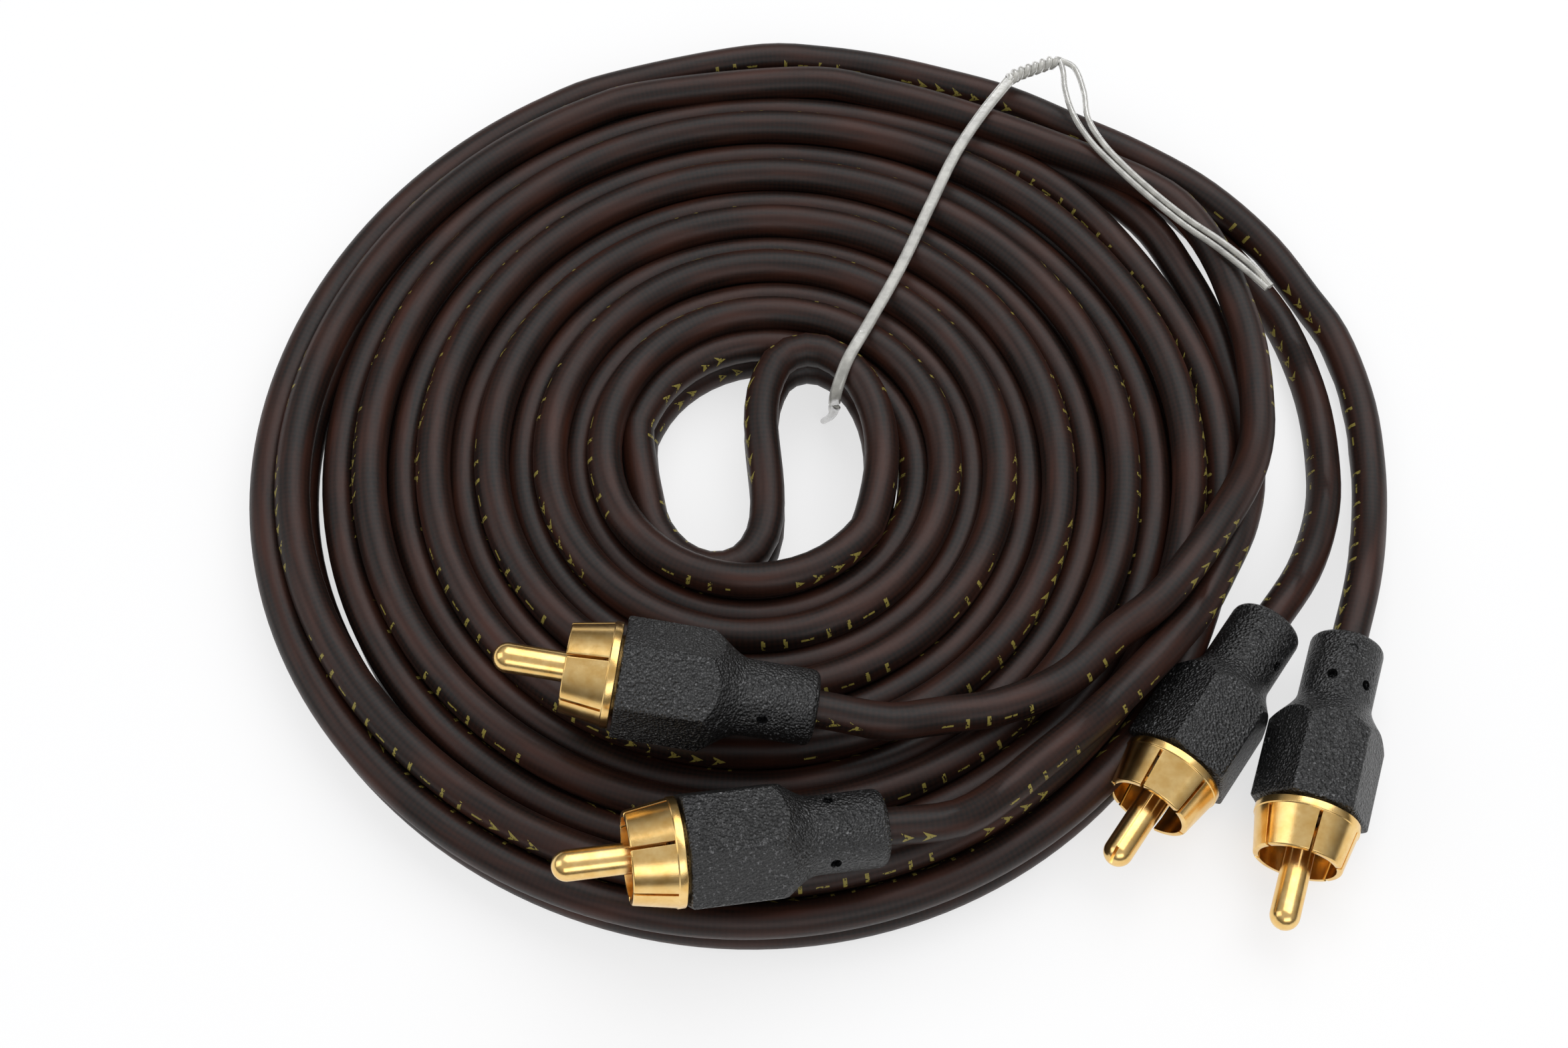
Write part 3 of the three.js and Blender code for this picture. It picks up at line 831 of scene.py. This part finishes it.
def soft_clear():
    """Milky where it is thick, with a wet shine along its edges."""
    look = material("clear_tie", "#d3d2cc", 0.2, Transmission_Weight=0.4, IOR=1.46,
                    Specular_IOR_Level=0.6, Coat_Weight=0.5, Coat_Roughness=0.1)
    place = millimetres(look)
    cloud = add(look, "TexNoise", {"Vector": place, "Scale": 1 / HAZE_PATCH, "Detail": 3.0})
    share = add(look, "MapRange", {"Value": cloud, "From Min": 0.3, "From Max": 0.75})
    shade = add(look, "Mix", {0: share, 6: colour("#aeada6"), 7: colour("#dedcd4")}, 2, data_type="RGBA")
    join(look, shade, "Base Color")
    ripple = add(look, "TexNoise", {"Vector": place, "Scale": 1 / RIPPLE_WIDTH})
    join(look, add(look, "Bump", {"Height": ripple, "Distance": RIPPLE_DEPTH * MM}), "Normal")
    return look


clear = soft_clear()

TIE_STEP = 0.5
STRAP_HALF_WIDTH = 0.72
STRAP_HALF_HEIGHT = 0.45
STRAP_GROOVE = 0.3              # share of the half height
STRAND_RADIUS = 0.42
END_RADIUS = 0.38
STRAP_SIDES = 16
STRAND_SIDES = 12
TWIST_STEP = 0.25
TWIST_PITCH = 2.1
TWIST_SPREAD = 0.5              # of a strand's middle from the line of the twist

STRAP_ROUTE = [(7.7, 8.8, 0.9), (8.2, 8.0, 3.0), (8.6, 7.4, 5.5), (8.7, 7.6, 9.0), (9.9, 10.5, 11.2),
               (12.6, 16.0, 11.0), (16.4, 23.7, 10.8), (20.3, 32.8, 10.8), (23.8, 40.8, 10.8),
               (27.3, 46.9, 10.7), (30.8, 52.0, 10.6)]
TWIST_ROUTE = [(30.8, 52.0, 10.6), (31.8, 53.4, 9.9), (34.7, 55.0, 9.5), (37.6, 56.4, 9.2)]
TAIL_ROUTES = {
    1: [(37.6, 56.4, 9.2), (37.9, 54.4, 9.4), (37.9, 51.2, 9.9), (38.7, 46.5, 10.5), (40.7, 42.2, 10.7),
        (43.3, 38.7, 10.7), (47.0, 34.3, 10.7), (50.8, 30.3, 10.7), (54.5, 27.0, 10.7),
        (57.8, 23.6, 10.7), (60.0, 21.2, 10.6)],
    2: [(37.6, 56.4, 9.2), (39.2, 55.2, 9.4), (40.2, 51.0, 9.9), (40.4, 46.2, 10.5), (41.8, 42.6, 10.7),
        (44.1, 39.2, 10.7), (47.7, 34.9, 10.7), (51.5, 31.0, 10.7), (55.3, 27.7, 10.7),
        (58.7, 24.1, 10.7), (60.5, 21.5, 10.6)],
}


def circle(radius):
    turn = 2 * math.pi / STRAND_SIDES
    return [(radius * math.cos(j * turn), radius * math.sin(j * turn)) for j in range(STRAND_SIDES)]


def grooved(half_width, half_height, groove):
    """Ring of a strip with rounded edges and a shallow groove along its top and underside."""
    ring = []
    for j in range(STRAP_SIDES):
        angle = 2 * math.pi * j / STRAP_SIDES
        x, y = half_width * math.cos(angle), half_height * math.sin(angle)
        ring.append((x, y * (1 - groove * bell(x, 0, half_width * 0.3))))
    return ring


def strand(name, route, ring_at, *nodes):
    path, _ = smooth_path(route, TIE_STEP)
    points, faces, uvs = tube_mesh(path, ring_at, TIE_STEP)
    made = piece(name, metres(points), faces, clear, uvs)
    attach(made, BODY)
    if nodes:
        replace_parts(made, *nodes)


strand("tie_strip", STRAP_ROUTE, lambda k: grooved(STRAP_HALF_WIDTH, STRAP_HALF_HEIGHT, STRAP_GROOVE),
       "tie_strap")


def twisted(phase):
    """One of two strands that wind round the line of the twist."""
    path, _ = smooth_path(TWIST_ROUTE, TWIST_STEP)
    axes = frames(path)
    made = []
    for k, place in enumerate(path):
        ease = min(1, k / 4, (len(path) - 1 - k) / 4)
        angle = 2 * math.pi * (k * TWIST_STEP / TWIST_PITCH) + phase
        _, right, up = axes[k]
        made.append(place + (right * math.cos(angle) + up * math.sin(angle)) * TWIST_SPREAD * ease)
    return made


strand("tie_twist_a", twisted(0.0), lambda k: circle(STRAND_RADIUS), "tie_twist")
strand("tie_twist_b", twisted(math.pi), lambda k: circle(STRAND_RADIUS))
for n in (1, 2):
    strand(f"tie_end_{n}", TAIL_ROUTES[n], lambda k: circle(END_RADIUS), f"tie_tail_{n}")


# Paper floor

# A wide sheet of white paper, smooth and matt, that the coil lies on.  Part of what the camera sees
# of it is an even white of its own, so that the shadows stay pale and metal shows it white too.
FLOOR_REACH = 3.0
OWN_WHITE = 0.68


def white_paper():
    """Even, bright and matt."""
    look = material("paper", "#fafafa", 0.7, Specular_IOR_Level=0.2)
    rays = add(look, "LightPath", {}).node.outputs
    seen = add(look, "Math", {0: rays["Is Camera Ray"], 1: rays["Is Glossy Ray"]}, operation="MAXIMUM")
    seen = add(look, "Math", {0: seen, 1: rays["Is Transmission Ray"]}, operation="MAXIMUM")
    share = add(look, "Math", {0: seen, 1: OWN_WHITE}, operation="MULTIPLY")
    white = add(look, "Emission", {"Color": colour("#ffffff"), "Strength": 1.0})
    matt = look.node_tree.nodes["Principled BSDF"].outputs[0]
    mixed = add(look, "MixShader", {0: share, 1: matt, 2: white})
    look.node_tree.links.new(mixed, look.node_tree.nodes["Material Output"].inputs["Surface"])
    return look


corners = [(-FLOOR_REACH, -FLOOR_REACH, 0), (FLOOR_REACH, -FLOOR_REACH, 0),
           (FLOOR_REACH, FLOOR_REACH, 0), (-FLOOR_REACH, FLOOR_REACH, 0)]
floor_mesh = bpy.data.meshes.new("floor")
floor_mesh.from_pydata(corners, [], [(0, 1, 2, 3)])
floor_mesh.materials.append(white_paper())
floor = bpy.data.objects.new("floor", floor_mesh)
bpy.context.scene.collection.objects.link(floor)


# Studio light

# A large soft lamp over the table, a weak one at the left and one low in front.  The room is darker
# round the table than overhead, which gives the gold its brown reflections.
ROOM_STRENGTH = 0.62

world = bpy.data.worlds.new("studio")
world.use_nodes = True
direction = add(world, "SeparateXYZ", {"Vector": add(world, "TexCoord", {}, "Generated")}, "Z")
share = add(world, "MapRange", {"Value": direction, "From Min": 0.05, "From Max": 0.75})
sky = add(world, "Mix", {0: share, 6: colour("#4e4a46"), 7: colour("#f6f7fa")}, 2, data_type="RGBA")
world.node_tree.links.new(sky, world.node_tree.nodes["Background"].inputs["Color"])
world.node_tree.nodes["Background"].inputs["Strength"].default_value = ROOM_STRENGTH
bpy.context.scene.world = world


def area_light(name, place, size, power):
    """A rectangular lamp that points at the middle of the table."""
    data = bpy.data.lights.new(name, "AREA")
    data.shape = "RECTANGLE"
    data.size, data.size_y = size
    data.energy = power
    light = bpy.data.objects.new(name, data)
    light.location = place
    light.rotation_euler = (-Vector(place)).to_track_quat("-Z", "Y").to_euler()
    bpy.context.scene.collection.objects.link(light)


# places and sizes in metres, power in watts
area_light("key", (0.3, 0.5, 0.95), (1.3, 1.0), 7.5)
area_light("fill", (-0.9, 0.0, 0.6), (0.6, 0.8), 2.0)
area_light("front", (0.15, -0.95, 0.75), (1.0, 0.5), 3.0)


# Camera

# It looks down on the table at 63 degrees from in front of the coil, through a lens of normal
# length.  Its place and focal length were fitted to the coil and plugs in the photograph.
CAMERA_PLACE = (2.7, -118.1, 224.4)   # from the eye of the coil
CAMERA_PITCH = 63.2
SENSOR_WIDTH = 36
FOCAL_PIXELS = 3200
IMAGE_WIDTH = 2346

camera_data = bpy.data.cameras.new("camera")
camera_data.sensor_fit = "HORIZONTAL"
camera_data.sensor_width = SENSOR_WIDTH
camera_data.lens = FOCAL_PIXELS / IMAGE_WIDTH * SENSOR_WIDTH
camera_data.clip_start = 0.01
camera = bpy.data.objects.new("camera", camera_data)
camera.location = metres([CAMERA_PLACE])[0]
camera.rotation_euler = (math.radians(90 - CAMERA_PITCH), 0, 0)
bpy.context.scene.collection.objects.link(camera)
bpy.context.scene.camera = camera
bpy.context.scene.view_settings.view_transform = "Standard"
